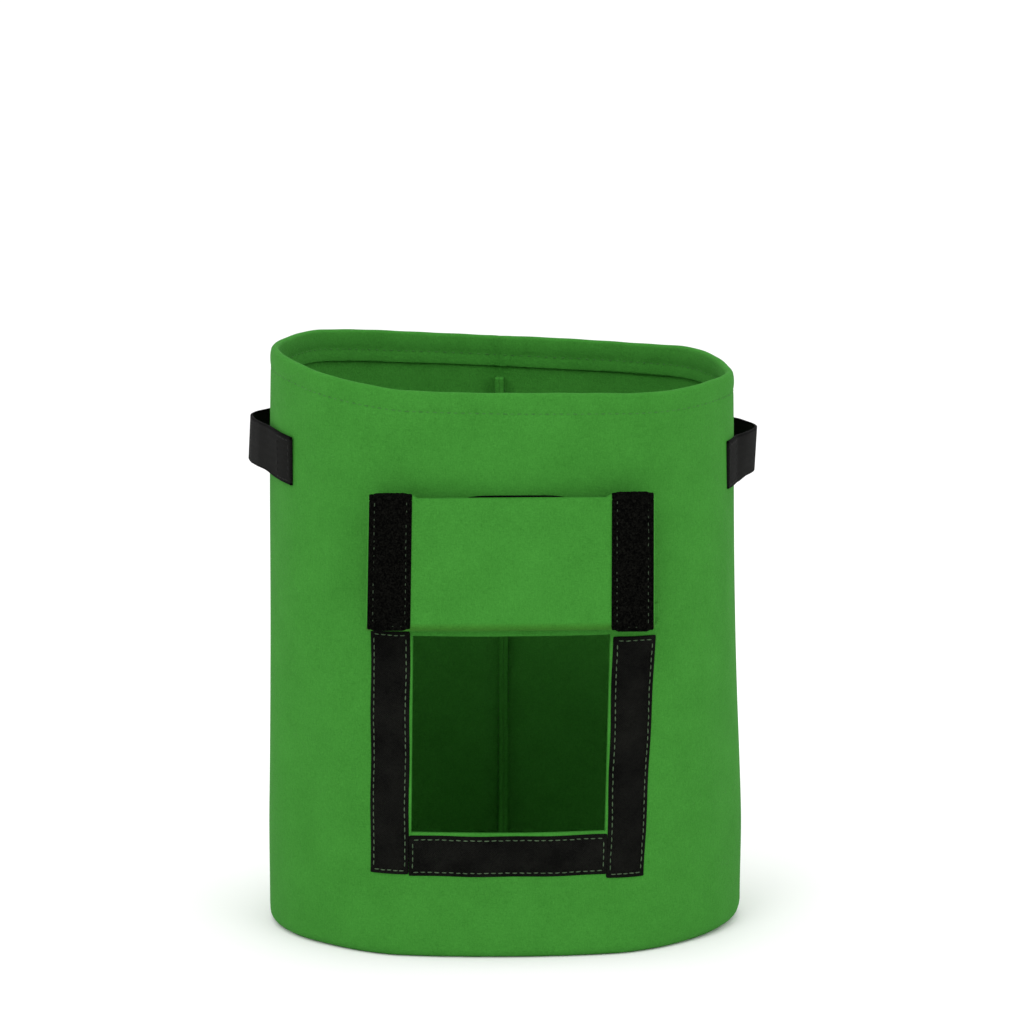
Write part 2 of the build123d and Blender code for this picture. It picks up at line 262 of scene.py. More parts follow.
def grid_faces(rows, columns, base=0, wrap_rows=False, wrap_columns=False, skip=None, flip=False):
    """Quads between points that were made row by row, from point number base on."""
    faces = []
    for i in range(rows if wrap_rows else rows - 1):
        for j in range(columns if wrap_columns else columns - 1):
            if skip is not None and skip(i, j):
                continue
            a = base + i * columns + j
            b = base + i * columns + (j + 1) % columns
            c = base + ((i + 1) % rows) * columns + (j + 1) % columns
            d = base + ((i + 1) % rows) * columns + j
            faces.append((a, d, c, b) if flip else (a, b, c, d))
    return faces


def edge_steps(start, end, step, rim=(0.0, 0.25, 0.7, 1.3, 2.2)):
    """Positions from start to end, close together at both ends."""
    count = max(2, round((end - start - 2 * rim[-1]) / step))
    middle = np.linspace(start + rim[-1], end - rim[-1], count + 1)
    return np.concatenate([[start + r for r in rim[:-1]], middle, [end - r for r in rim[:-1]][::-1]])


def slab(
    name, place, s, t, thickness,
    corner=0.0, sunk=0.0, selvedge=0.0, edges="s", overhang=0.0, rough=0.0, joined="", crease=60,
):
    """A closed strip of cloth: place(s, t, out) gives a point. Its edges and corners are rounded.

    sunk is how far its back lies below out = 0, selvedge the width of the thinner woven edge along
    its s or t edges, overhang how far the pile reaches past the cut ends, rough how uneven its face
    is, and joined names the edges (s0, s1, t0, t1) that meet another piece and so stay square."""
    s0, s1, t0, t1 = s[0], s[-1], t[0], t[-1]
    S, T = np.meshgrid(s, t, indexing="ij")
    ds, dt = np.minimum(S - s0, s1 - S), np.minimum(T - t0, t1 - T)
    if corner > 0:
        a, b = np.clip((corner - ds) / corner, 0, 1), np.clip((corner - dt) / corner, 0, 1)
        long = np.maximum(np.hypot(a, b), 1e-9)
        k = np.where((a > 0) & (b > 0), np.maximum(a, b) / long, 1)
        S = S + np.where(S - s0 < s1 - S, 1, -1) * (a - a * k) * corner
        T = T + np.where(T - t0 < t1 - T, 1, -1) * (b - b * k) * corner
    ends = {"s0": S - s0, "s1": s1 - S, "t0": T - t0, "t1": t1 - T}
    near = np.min([d for k, d in ends.items() if k not in joined.split()], axis=0)
    round_over = np.sqrt(np.clip(1 - (1 - np.clip(near / EDGE_ROUND, 0, 1)) ** 2, 0, 1))
    top = thickness * (CUT_EDGE + (1 - CUT_EDGE) * round_over)
    if selvedge > 0:
        raised = smooth(({"s": ds, "t": dt}[edges] - selvedge) / EDGE_ROUND)
        top = top * (WOVEN_EDGE + (1 - WOVEN_EDGE) * raised)
        if overhang > 0:
            reach = overhang * raised * np.clip(1 - dt / 4, 0, 1)
            below = 0 if "t0" in joined else -reach
            above = 0 if "t1" in joined else reach
            T = T + np.where(T - t0 < t1 - T, below, above)
    if rough > 0:
        top = top + rough * np.array([[rng.uniform(-1, 1) for _ in t] for _ in s]) * (near > 0.3)
    upper = place(S, T, top)
    lower = place(S, T, np.full_like(S, -sunk))
    n, m = S.shape
    points = np.concatenate([upper.reshape(-1, 3), lower.reshape(-1, 3)])
    faces = grid_faces(n, m, 0, flip=True) + grid_faces(n, m, n * m)
    ring = [i * m for i in range(n)]
    ring += [(n - 1) * m + j for j in range(1, m)]
    ring += [i * m + m - 1 for i in range(n - 2, -1, -1)]
    ring += [j for j in range(m - 2, 0, -1)]
    for a, b in zip(ring, ring[1:] + ring[:1]):
        faces.append((a, b, b + n * m, a + n * m))
    st = np.stack([S, T, np.ones_like(S)], -1).reshape(-1, 3)
    return mesh_object(name, points, faces, np.concatenate([st, st * (1, 1, 0)]), crease)


# A stitch's rings: place along it and swell, as shares, then its sides, its arch and its flatness
STITCH_RINGS = [(-0.5, 0.30), (-0.32, 0.85), (0.0, 1.0), (0.32, 0.85), (0.5, 0.30)]
STITCH_SIDES = 6
STITCH_ARCH = 4.4
STITCH_FLAT = 0.8


def stitches(name, places, length=STITCH, width=0.78, proud=0.36):
    """Many stitches as one mesh. Each place is (point, direction, normal) in millimetres."""
    points, faces = [], []
    for point, along, normal in places:
        point, along, normal = Vector(point), Vector(along).normalized(), Vector(normal).normalized()
        across = normal.cross(along).normalized()
        tilt = rng.uniform(-0.07, 0.07)
        along = (along + across * tilt).normalized()
        size = length * rng.uniform(0.92, 1.05)
        base = len(points)
        for share, swell in STITCH_RINGS:
            radius = width / 2 * swell
            centre = point + along * (size * share) + normal * (proud * (1 - STITCH_ARCH * share * share))
            for k in range(STITCH_SIDES):
                angle = 2 * math.pi * k / STITCH_SIDES
                sideways = across * (radius * math.cos(angle))
                points.append(centre + sideways + normal * (STITCH_FLAT * radius * math.sin(angle)))
        faces += grid_faces(len(STITCH_RINGS), STITCH_SIDES, base, wrap_columns=True)
        faces.append(tuple(base + k for k in range(STITCH_SIDES))[::-1])
        last = base + STITCH_SIDES * (len(STITCH_RINGS) - 1)
        faces.append(tuple(last + k for k in range(STITCH_SIDES)))
    return mesh_object(name, points, faces, crease=80)


def spaced(start, end, pitch=PITCH):
    """The middles of equal steps from start to end, each about a pitch long."""
    count = max(1, round(abs(end - start) / pitch))
    step = (end - start) / count
    return [start + (i + 0.5) * step for i in range(count)]


def seam(place, path, out, wander=0.12):
    """Stitch places on a surface: path is a list of (s, t, ds, dt)."""
    found = []
    for s, t, ds, dt in path:
        s, t = s + rng.uniform(-wander, wander), t + rng.uniform(-wander, wander)
        here = place(s, t, out)
        ahead = place(s + 0.5 * ds, t + 0.5 * dt, out)
        beside = place(s - 0.5 * dt, t + 0.5 * ds, out)
        normal = Vector(np.cross(ahead - here, beside - here))
        lifted = Vector(place(s, t, out + 0.5) - here)
        if normal.dot(lifted) < 0:
            normal = -normal
        found.append((here, ahead - here, normal))
    return found


def rectangle(s0, s1, t0, t1, margin=MARGIN):
    """Stitch path just inside the edges of a tape."""
    path = []
    for t in (t0 + margin, t1 - margin):
        path += [(s, t, 1, 0) for s in spaced(s0 + margin, s1 - margin)]
    for s in (s0 + margin, s1 - margin):
        path += [(s, t, 0, 1) for t in spaced(t0 + 1.7 * margin, t1 - 1.7 * margin)]
    return path


def finish_piece(piece, material, slot, body="bag", replaces=(), blend=None):
    """Sets a piece's material and the body it moves with; a piece given a blend is only baked in place. The
    slot is not used.
    """
    piece.data.materials.clear()
    piece.data.materials.append(material)
    if blend:
        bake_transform(piece)
    else:
        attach(piece, body)
    if replaces:
        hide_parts(*replaces)
    return piece


# Materials
class Recipe:
    """A procedural material under construction."""

    def __init__(self, name):
        self.material = bpy.data.materials.new(name)
        self.material.use_nodes = True
        self.tree = self.material.node_tree
        self.shader = self.tree.nodes["Principled BSDF"]
        self.object = self.node("ShaderNodeTexCoord").outputs["Object"]

    def node(self, kind, **settings):
        made = self.tree.nodes.new(kind)
        for key, value in settings.items():
            if key in made.inputs:
                made.inputs[key].default_value = value
            else:
                setattr(made, key, value)
        return made

    def link(self, source, target):
        self.tree.links.new(source, target)

    def value(self, name, amount):
        self.shader.inputs[name].default_value = amount

    def cloth(self):
        """How far along and across its cloth a point lies, and its side: 1 in front, 0 behind."""
        place = self.node("ShaderNodeAttribute", attribute_name="st")
        split = self.node("ShaderNodeSeparateXYZ")
        self.link(place.outputs["Vector"], split.inputs[0])
        return split.outputs

    def noise(self, scale, detail=4, roughness=0.6, distortion=0.0, vector=None):
        made = self.node("ShaderNodeTexNoise", Scale=scale, Detail=detail, Roughness=roughness)
        made.inputs["Distortion"].default_value = distortion
        self.link(vector or self.object, made.inputs["Vector"])
        return made.outputs["Fac"]

    def stretched(self, scale):
        made = self.node("ShaderNodeMapping", Scale=scale)
        self.link(self.object, made.inputs["Vector"])
        return made.outputs["Vector"]

    def ramp(self, source, stops):
        made = self.node("ShaderNodeValToRGB")
        ramp = made.color_ramp
        while len(ramp.elements) < len(stops):
            ramp.elements.new(0.5)
        for element, (place, colour) in zip(ramp.elements, stops):
            element.position = place
            element.color = (*colour, 1)
        self.link(source, made.inputs["Fac"])
        return made.outputs["Color"]

    def math(self, operation, a, b=None, c=None):
        made = self.node("ShaderNodeMath", operation=operation)
        for socket, given in zip(made.inputs, (a, b, c)):
            if isinstance(given, (int, float)):
                socket.default_value = given
            elif given is not None:
                self.link(given, socket)
        return made.outputs[0]

    def blended(self, a, share_a, b, share_b):
        """The sum of two sources, each taken by its share."""
        return self.math("ADD", self.math("MULTIPLY", a, share_a), self.math("MULTIPLY", b, share_b))

    def mix(self, a, b, amount, blend="MIX"):
        made = self.node("ShaderNodeMix", data_type="RGBA", blend_type=blend)
        ends = [s for s in made.inputs if s.type == "RGBA"]
        for socket, given in zip(ends, (a, b)):
            if isinstance(given, tuple):
                socket.default_value = (*given, 1)
            else:
                self.link(given, socket)
        if isinstance(amount, (int, float)):
            made.inputs[0].default_value = amount
        else:
            self.link(amount, made.inputs[0])
        return [s for s in made.outputs if s.type == "RGBA"][0]

    def bump(self, height, distance, strength=1.0, under=None):
        made = self.node("ShaderNodeBump", Strength=strength, Distance=distance)
        self.link(height, made.inputs["Height"])
        if under is not None:
            self.link(under, made.inputs["Normal"])
        return made.outputs["Normal"]

    def finish(self, colour, normal, roughness, specular):
        self.link(colour, self.shader.inputs["Base Color"])
        self.link(normal, self.shader.inputs["Normal"])
        self.value("Roughness", roughness)
        self.value("Specular IOR Level", specular)
        return self.material


# Painted shade under the roll over the window's head, a darker band in place of the shadow a top light would
# leave there: its colour, its place round the roll and how narrow it is
ROLL_PAINTED_SHADE = (0.92, 0.76, 0.62)
ROLL_PAINTED_SHADE_TURN = 2.3
ROLL_PAINTED_SHADE_NARROW = 1.18


def felt_material(name, dark, light, painted_roll_shade=False):
    """Needle-punched felt: matted fibres, a soft mottle and small dimples.

    For the roll over the window's head the felt gets painted shade: a darker band along the roll's underside,
    in place of the shadow a top light would cast there."""
    r = Recipe(name)
    mottle = r.noise(38, 5, 0.6)
    lying = r.noise(1, 5, 0.62, 1.2, r.stretched((520, 520, 1500)))
    standing = r.noise(1, 5, 0.62, 1.2, r.stretched((1500, 1500, 460)))
    fleck = r.blended(lying, 0.5, standing, 0.5)
    shade = r.blended(fleck, 0.82, mottle, 0.18)
    colour = r.ramp(shade, [(0.38, dark), (0.62, light)])
    if painted_roll_shade:
        # Painted shade: darken a band round the roll's underside, on its front face only
        _, turned, face = r.cloth()
        off = r.math("MULTIPLY", r.math("SUBTRACT", turned, ROLL_PAINTED_SHADE_TURN), ROLL_PAINTED_SHADE_NARROW)
        under = r.math("MAXIMUM", r.math("SUBTRACT", 1.0, r.math("MULTIPLY", off, off)), 0.0)
        colour = r.mix(colour, ROLL_PAINTED_SHADE, r.math("MULTIPLY", under, face), "MULTIPLY")
    punch = r.node("ShaderNodeTexVoronoi", Scale=430, feature="F1")
    r.link(r.object, punch.inputs["Vector"])
    dimple = r.math("SMOOTH_MIN", punch.outputs["Distance"], 0.5, 0.2)
    lumps = r.noise(140, 3, 0.5)
    height = r.math("ADD", fleck, r.math("MULTIPLY", dimple, 0.35))
    fine = r.bump(height, 0.0007, 0.75)
    normal = r.bump(lumps, 0.0012, 0.35, fine)
    r.value("Sheen Weight", 0.12)
    r.value("Sheen Roughness", 0.6)
    r.value("Sheen Tint", (*light, 1))
    return r.finish(colour, normal, roughness=0.95, specular=0.12)


def webbing_material(name, middle):
    """Polypropylene webbing: a fine herringbone weave along the strap, darker at its woven edges.

    middle is where the strap's middle lies across the cloth."""
    r = Recipe(name)
    along, across, _ = r.cloth()
    zigzag = r.math("PINGPONG", across, 2.5)
    twill = r.math("SINE", r.math("MULTIPLY", r.math("ADD", along, zigzag), 4.4))
    pick = r.math("SINE", r.math("MULTIPLY", across, 9.0))
    strand = r.noise(1, 4, 0.6, 0.4, r.stretched((2600, 2600, 700)))
    height = r.math("ADD", r.blended(twill, 0.5, pick, 0.2), r.math("MULTIPLY", strand, 0.6))
    shade = r.math("ADD", r.math("MULTIPLY", height, 0.30), 0.34)
    from_middle = r.math("ABSOLUTE", r.math("SUBTRACT", across, middle))
    edge = r.math("MULTIPLY", r.math("SUBTRACT", from_middle, WEBBING_WIDTH / 2 - WOVEN_BORDER), 0.9)
    shade = r.math("SUBTRACT", shade, r.math("MINIMUM", r.math("MAXIMUM", edge, 0.0), 0.5))
    colour = r.ramp(shade, [(0.10, (0.0010, 0.0010, 0.0009)), (0.80, (0.0125, 0.0128, 0.0117))])
    return r.finish(colour, r.bump(height, 0.0003, 0.8), roughness=0.68, specular=0.025)


def hook_material():
    """Hook tape: rows of tiny stiff hooks on a dull black base."""
    r = Recipe("hook_tape")
    along, across, _ = r.cloth()
    rows = r.math("SINE", r.math("MULTIPLY", along, 5.7))
    ranks = r.math("SINE", r.math("MULTIPLY", across, 4.6))
    hooks = r.math("MULTIPLY", rows, ranks)
    grain = r.noise(1700, 4, 0.6)
    dust = r.noise(55, 4, 0.6)
    height = r.blended(hooks, 0.5, grain, 0.9)
    shade = r.math("ADD", r.blended(grain, 0.6, dust, 0.4), r.math("MULTIPLY", hooks, 0.12))
    colour = r.ramp(shade, [(0.40, (0.0002, 0.0002, 0.0002)), (0.62, (0.0074, 0.0076, 0.0062))])
    return r.finish(colour, r.bump(height, 0.0003, 0.7), roughness=0.7, specular=0.035)


def loop_material():
    """Loop tape: a matted pile of fine curled loops."""
    r = Recipe("loop_tape")
    curls = r.noise(1500, 6, 0.72, 2.2)
    matting = r.noise(800, 5, 0.7, 1.0)
    height = r.math("ADD", curls, r.math("MULTIPLY", matting, 0.9))
    shade = r.blended(curls, 0.45, matting, 0.55)
    colour = r.ramp(shade, [(0.47, (0.0001, 0.0001, 0.0001)), (0.57, (0.0066, 0.0068, 0.0054))])
    return r.finish(colour, r.bump(height, 0.0009, 0.9), roughness=0.9, specular=0.02)


def thread_material(name, dark, light):
    """Twisted sewing thread."""
    r = Recipe(name)
    ply = r.noise(2600, 3, 0.5)
    age = r.noise(150, 3, 0.5)
    shade = r.blended(ply, 0.6, age, 0.4)
    colour = r.ramp(shade, [(0.35, dark), (0.65, light)])
    return r.finish(colour, r.bump(ply, 0.0002, 0.6), roughness=0.75, specular=0.25)


FELT_COLOURS = (0.0262, 0.157, 0.0155), (0.0470, 0.238, 0.0295)
FELT_GREEN = felt_material("felt_green", *FELT_COLOURS)
# The same felt with painted shade along the underside of the roll over the window's head
FELT_PAINTED_SHADE = felt_material("felt_rolled", *FELT_COLOURS, painted_roll_shade=True)
HOOK_BLACK = hook_material()
LOOP_BLACK = loop_material()
THREAD_GREY = thread_material("thread_on_tape", (0.022, 0.048, 0.020), (0.075, 0.120, 0.062))
# The tape thread again, painted darker for stitches sunk in the loop pile: painted shade
THREAD_PAINTED_SHADE_IN_PILE = thread_material("thread_in_pile", (0.010, 0.020, 0.009), (0.040, 0.066, 0.034))
THREAD_GREEN = thread_material("thread_on_felt", (0.024, 0.115, 0.018), (0.050, 0.200, 0.036))
THREAD_DARK = thread_material("thread_on_webbing", (0.006, 0.006, 0.0055), (0.014, 0.014, 0.013))


# Wall, with the rim turned in as a hem and the window cut through
def wall_profile():
    """(z, out) of the wall's section, from the outer bottom edge, over the rim, to the inner bottom edge.

    Each span is (from, to, how many rows)."""
    rows = []
    r = BOTTOM_RADIUS
    for deg in (80, 62, 45, 28, 12):
        a = math.radians(deg)
        rows.append((r - r * math.sin(a), -r + r * math.cos(a)))
    spans = [(r, WINDOW_BOTTOM, 26), (WINDOW_BOTTOM, WINDOW_TOP, 50)]
    spans += [(WINDOW_TOP, HEM_BOTTOM + 1, 51), (HEM_BOTTOM + 1, RIM_ROUND_Z, 13)]
    for low, high, count in spans:
        rows += [(low + (high - low) * i / count, 0.0) for i in range(count)]
    for deg in range(0, 181, 18):
        a = math.radians(deg)
        rows.append((RIM_ROUND_Z + RIM_ROUND * math.sin(a), -RIM_ROUND + RIM_ROUND * math.cos(a)))
    inside = -FELT - HEM_FELT
    top, bottom = 345.5, HEM_BOTTOM + 1
    rows += [(top - (top - bottom) * i / 9, inside) for i in range(10)]
    rows += [(HEM_BOTTOM + 0.2, inside + 0.25), (HEM_BOTTOM, inside + 0.9)]
    rows += [(HEM_BOTTOM, -FELT - 0.5), (HEM_BOTTOM - 0.4, -FELT)]
    spans = [(HEM_BOTTOM - 1.5, WINDOW_TOP, 50), (WINDOW_TOP, WINDOW_BOTTOM, 50), (WINDOW_BOTTOM, r, 26)]
    for high, low, count in spans:
        rows += [(high + (low - high) * i / count, -FELT) for i in range(count)]
    rows.append((r, -FELT))
    for deg in (12, 28, 45, 62, 80):
        a = math.radians(deg)
        rows.append((r - (r - FELT) * math.sin(a), -r + (r - FELT) * math.cos(a)))
    return rows


def wall_columns():
    """Distances along the outline, with one at each side of the window."""
    half = np.linspace(WINDOW_HALF, HALF_GIRTH, 154)
    front = np.linspace(-WINDOW_HALF, WINDOW_HALF, 49)
    return np.concatenate([-half[::-1][:-1], front, half[1:-1]])


# How deep the hem's stitching and the back seam draw the felt in, and how the felt swells beside them
HEM_GROOVE = 0.6
HEM_SWELL = 0.4
HEM_SWELL_Z = 343.3
SEAM_GROOVE = 1.9
SEAM_SWELL = 0.5


def make_wall():
    rows, columns = wall_profile(), wall_columns()
    z = np.array([r[0] for r in rows])[:, None]
    out = np.array([r[1] for r in rows])[:, None]
    along = columns[None, :]
    face = np.where(out > -FELT / 2, 1.0, -1.0)
    puckers = 0.75 + 0.25 * np.cos(2 * math.pi * along / (2 * PITCH))
    hem = smooth((z - HEM_BOTTOM + 2) / 4)
    out = out - face * HEM_GROOVE * puckers * hem * bump((z - HEM_STITCH_Z) / 1.5)
    out = out + face * HEM_SWELL * hem * bump((z - HEM_SWELL_Z) / 4.2) * (z < RIM_ROUND_Z)
    from_seam = HALF_GIRTH - np.abs(along)
    out = out - SEAM_GROOVE * bump(from_seam / 2.2) + SEAM_SWELL * bump((from_seam - 6) / 3)
    wobble = 0.08 * np.sin(along * 0.21 + 1) + 0.2 * np.sin(along * 7 * math.pi / HALF_GIRTH)
    points = wall(along, z + wobble * smooth((z - 342) / 6), out)
    n, m = len(rows), len(columns)
    left = int(np.argmin(np.abs(columns + WINDOW_HALF)))
    right = int(np.argmin(np.abs(columns - WINDOW_HALF)))
    rows_low = [i for i in range(n) if abs(rows[i][0] - WINDOW_BOTTOM) < 1e-6]
    rows_high = [i for i in range(n) if abs(rows[i][0] - WINDOW_TOP) < 1e-6]
    outer = (rows_low[0], rows_high[0])
    inner = (rows_high[-1], rows_low[-1])

    def cut(i, j):
        return left <= j < right and (outer[0] <= i < outer[1] or inner[0] <= i < inner[1])

    faces = grid_faces(n, m, wrap_rows=True, wrap_columns=True, skip=cut)
    mirror = {outer[0] + k: inner[1] - k for k in range(outer[1] - outer[0] + 1)}
    ring = [(outer[0], j) for j in range(left, right)] + [(i, right) for i in range(*outer)]
    ring += [(outer[1], j) for j in range(right, left, -1)]
    ring += [(i, left) for i in range(outer[1], outer[0], -1)]
    for (i, j), (p, q) in zip(ring, ring[1:] + ring[:1]):
        faces.append((i * m + j, p * m + q, mirror[p] * m + q, mirror[i] * m + j))
    st = np.stack(np.broadcast_arrays(along, z), -1)
    return mesh_object("wall_felt", points, faces, st, crease=55)


wall_felt = finish_piece(make_wall(), FELT_GREEN, "felt", replaces=["wall_panel", "rim_hem"])


# Base, whose edge turns up inside the wall
# (z, out) round the turned-up edge, from the underside to the upper side
BASE_EDGE = [
    (0.2, -8.0), (0.35, -6.3), (1.2, -5.5), (3.2, -5.3), (3.9, -4.3), (5.0, -3.5), (6.5, -3.2),
    (10.0, -3.2), (13.4, -3.3), (14.2, -4.0), (14.2, -5.4), (13.4, -6.1), (10.0, -6.2), (7.5, -6.2),
    (5.6, -6.6), (4.2, -7.8), (3.5, -9.6),
]
BASE_CENTRE = np.array([0.0, -5.0])


def make_base():
    columns = np.linspace(-HALF_GIRTH, HALF_GIRTH, 261)[:-1]
    shares = np.linspace(0.03, 0.99, 34)

    def ring(z, out, share=None):
        x, y, _ = outline(columns, out)
        level = np.stack([x, y, np.full_like(x, z)], -1)
        if share is not None:
            level[:, :2] = BASE_CENTRE + share * (level[:, :2] - BASE_CENTRE)
        return level

    rings = [ring(0.2, -8.0, share) for share in shares]
    rings += [ring(z, out) for z, out in BASE_EDGE]
    for share in shares[::-1]:
        level = ring(3.25, -12.0, share)
        level[:, 2] += 0.5 * np.sin(level[:, 0] * 0.06) * np.sin(level[:, 1] * 0.07 + 1) + 0.5
        rings.append(level)
    points = stacked(*settle(*np.moveaxis(np.array(rings), -1, 0)))
    n, m = len(rings), len(columns)
    faces = grid_faces(n, m, wrap_columns=True)
    flat = points.reshape(-1, 3)
    low, high = flat[:m].mean(0), flat[-m:].mean(0)
    faces += [(j, n * m, (j + 1) % m) for j in range(m)]
    last = (n - 1) * m
    faces += [(last + (j + 1) % m, n * m + 1, last + j) for j in range(m)]
    points = np.concatenate([flat, [low, high]])
    return mesh_object("base_felt", points, faces, points[:, :2])


base_felt = finish_piece(make_base(), FELT_GREEN, "felt", replaces=["base_panel"])


# Back seam: the wall's two ends stand inwards, sewn together
SEAM_GAP = 0.1
SEAM_STITCH_Y = 119.3


def seam_lean(y, z):
    return 0.8 * np.sin(z / 31) * smooth((124 - y) / 10)


def make_seam_allowance(side):
    def place(s, t, out):
        x = side * (SEAM_GAP + out) + seam_lean(s, t)
        return stacked(*settle(x, s + 0 * out, t + 0 * out))

    name = "back_seam_allowance_" + ("right" if side > 0 else "left")
    return slab(name, place, edge_steps(114, 125, 1.5), edge_steps(17, 328, 4), FELT, corner=1.2)


seam_allowances = [finish_piece(make_seam_allowance(side), FELT_GREEN, "felt") for side in (-1, 1)]


def sewn(name, places, material, **size):
    """The stitches of a seam that lies still with the bag."""
    return finish_piece(stitches(name + "_thread", places, **size), material, "thread", replaces=[name])


def ring_places(z, out, pitch, inward=False):
    """Stitch places all round the wall, on its outer side or on its inner side."""
    found = []
    for along in spaced(-HALF_GIRTH, HALF_GIRTH, pitch):
        here, ahead, off = wall(along, z, out), wall(along + 1, z, out), wall(along, z, out + 1)
        normal = off - here
        found.append((here, ahead - here, -normal if inward else normal))
    return found


HEM_THREAD_SUNK = 0.55
outer_row = ring_places(HEM_STITCH_Z, -HEM_THREAD_SUNK, PITCH)
inner_row = ring_places(HEM_STITCH_Z, -FELT - HEM_FELT + HEM_THREAD_SUNK, HIDDEN_PITCH, True)
sewn("rim_hem_stitching", outer_row + inner_row, THREAD_GREEN, width=0.62, proud=0.3)
sewn("base_seam_stitching", ring_places(9.0, -6.25, HIDDEN_PITCH, True), THREAD_GREEN)

seam_places = []
for side in (-1, 1):
    for z in spaced(23, 322, HIDDEN_PITCH):
        point = settle(side * (FELT + SEAM_GAP) + seam_lean(SEAM_STITCH_Y, z), SEAM_STITCH_Y, z)
        seam_places.append(([float(v) for v in point], (0, 0, 1), (side, 0, 0)))
sewn("back_seam_stitching", seam_places, THREAD_GREEN)


# Hook tapes round the window: from and to along the wall, from and to upwards, and the woven edges
TAPE_SPANS = {"left": (-TAPE_INNER - TAPE_WIDTH, -TAPE_INNER), "right": (TAPE_INNER, TAPE_INNER + TAPE_WIDTH)}
WINDOW_TAPES = {
    "left": (*TAPE_SPANS["left"], FRAME_BOTTOM, FRAME_TOP, "s"),
    "right": (*TAPE_SPANS["right"], FRAME_BOTTOM - 3.3, FRAME_TOP - 4.4, "s"),
    "bottom": (-TAPE_INNER + 0.1, TAPE_INNER - 0.1, FRAME_BOTTOM - 0.9, FRAME_BOTTOM + 24.5, "t"),
}


def window_tape(name, s0, s1, t0, t1, edges):
    lean = rng.uniform(-0.3, 0.3)

    def place(s, t, out):
        waver = 0.22 * np.sin(t * 0.11 + s0) + lean * (t - t0) / (t1 - t0)
        return wall(s + waver, t + 0.2 * np.sin(s * 0.13 + 1), out + TAPE_RAISED)

    piece = slab(
        f"{name}_hooks", place, edge_steps(s0, s1, 2.4), edge_steps(t0, t1, 2.6), TAPE_THICK,
        corner=1.0, sunk=TAPE_SUNK, selvedge=1.3, edges=edges,
    )
    finish_piece(piece, HOOK_BLACK, "hook_tape", replaces=[name])
    path = rectangle(s0, s1, t0, t1)
    sewn(f"{name}_stitching", seam(place, path, TAPE_THICK + TAPE_RAISED), THREAD_GREY)
    return piece


window_tapes = [window_tape(f"window_tape_{name}", *spans) for name, spans in WINDOW_TAPES.items()]


# Flap, stowed folded in three over the window
# The flat flap's x at its edges and at its tapes' edges, and where they hang
FLAP_FLAT_X = [-90, -87.3, -61.8, 61.8, 87.3, 90]
FLAP_HUNG_X = [-86.2, -83.5, -57.4, 64.0, 89.5, 92.2]
FLAP_WAVES = 0.8
FREE_EDGE_BOW = 2.1


def flap(x, y, z, bows=0.0):
    """Where a point of the flat stowed flap really hangs: it leans, and its free edge bows up."""
    hung = np.interp(x, FLAP_FLAT_X, FLAP_HUNG_X) + (z - 248) / 80 * (1 - x / FLAP_HALF)
    between = smooth((FLAP_TOP_Z - z) / 14) * smooth(np.abs(z - FLAP_INNER_Z) / 14)
    between = between * smooth((z - HINGE_Z) / 20)
    waves = FLAP_WAVES * np.sin(x * 0.035 + 1.0) * np.sin(z * 0.09 - 2.0) * between
    high = smooth((z - FLAP_INNER_Z) / (FLAP_TOP_Z - FLAP_INNER_Z))
    bow = bows * (np.exp(-(((x - 2.5) / 31) ** 8)) - 0.45) * high
    return stacked(hung, y + waves, z + bow)


def along_at(x):
    """Distance along the outline at which the front reaches x."""
    far = np.abs(x)
    flat = FRONT_RADIUS * np.arcsin(np.minimum(far, FRONT_HALF_WIDTH) / FRONT_RADIUS)
    turn = np.arcsin(np.clip((far - SIDE_CENTRE_X) / SIDE_RADIUS, -1, 1))
    bent = FRONT_LENGTH + SIDE_RADIUS * (turn - FRONT_ANGLE)
    return np.sign(x) * np.where(far <= FRONT_HALF_WIDTH, flat, bent)


def flap_layer(y, facing, bows):
    """Places off one side of a length of the flap, at y, that looks at -Y (facing 1) or +Y (-1)."""

    def place(s, t, out):
        return flap(s, y - facing * out, t, bows)

    return place


def fold(axis_y, axis_z, inside, down, outward=1, pressed=0.0, squared=0.0):
    """Places round a fold from its front side (t = 0) to its back side (t = pi).

    inside is the radius of the cloth's back, which grows by the thickness (outward 1) or shrinks by
    it (outward -1). pressed is how much flatter the felt is creased between the tapes, and squared
    how much flatter it is all along."""

    def place(s, t, out):
        radius = inside + outward * out
        y = axis_y - radius * np.cos(t)
        crease = (1 - squared) * (1 - pressed * smooth((TAPE_INNER - 0.4 - np.abs(s)) / 3))
        z = axis_z + (-1 if down else 1) * radius * crease * np.sin(t)
        flat = flap(s, axis_y + 0 * t, np.full_like(t, axis_z))
        return flat + np.stack([0 * y, y - axis_y, z - axis_z], -1)

    return place


def hinge_fold(s, t, out):
    """The fold over the window's head, from the sewn strip (t = 0) to the flap (t = pi)."""
    behind = wall(along_at(s), np.full_like(s, HINGE_FOLD_Z), STRIP_RAISED + HALF_FELT)
    before = flap(s, UPPER_Y + 0 * s, np.full_like(s, HINGE_FOLD_Z))
    behind[..., 0] = before[..., 0] + (behind[..., 0] - before[..., 0]) * (1 + np.cos(t)) / 2
    middle, half = (behind + before) / 2, (before - behind) / 2
    c, d = np.cos(t)[..., None], np.sin(t)[..., None]
    down = np.array([0.0, 0.0, -1.0])
    unit = half * np.array([0.0, 1.0, 0.0])
    unit = unit / np.maximum(np.linalg.norm(unit, axis=-1, keepdims=True), 1e-9)
    off = (out - HALF_FELT)[..., None]
    return middle - half * c + down * HINGE_FOLD_DROP * d + off * (down * d - unit * c)


XS = edge_steps(-FLAP_HALF, FLAP_HALF, 2.5)
TURN = np.linspace(0, math.pi, 13)
fold_felts, flap_felts, flap_tapes = [], {}, []


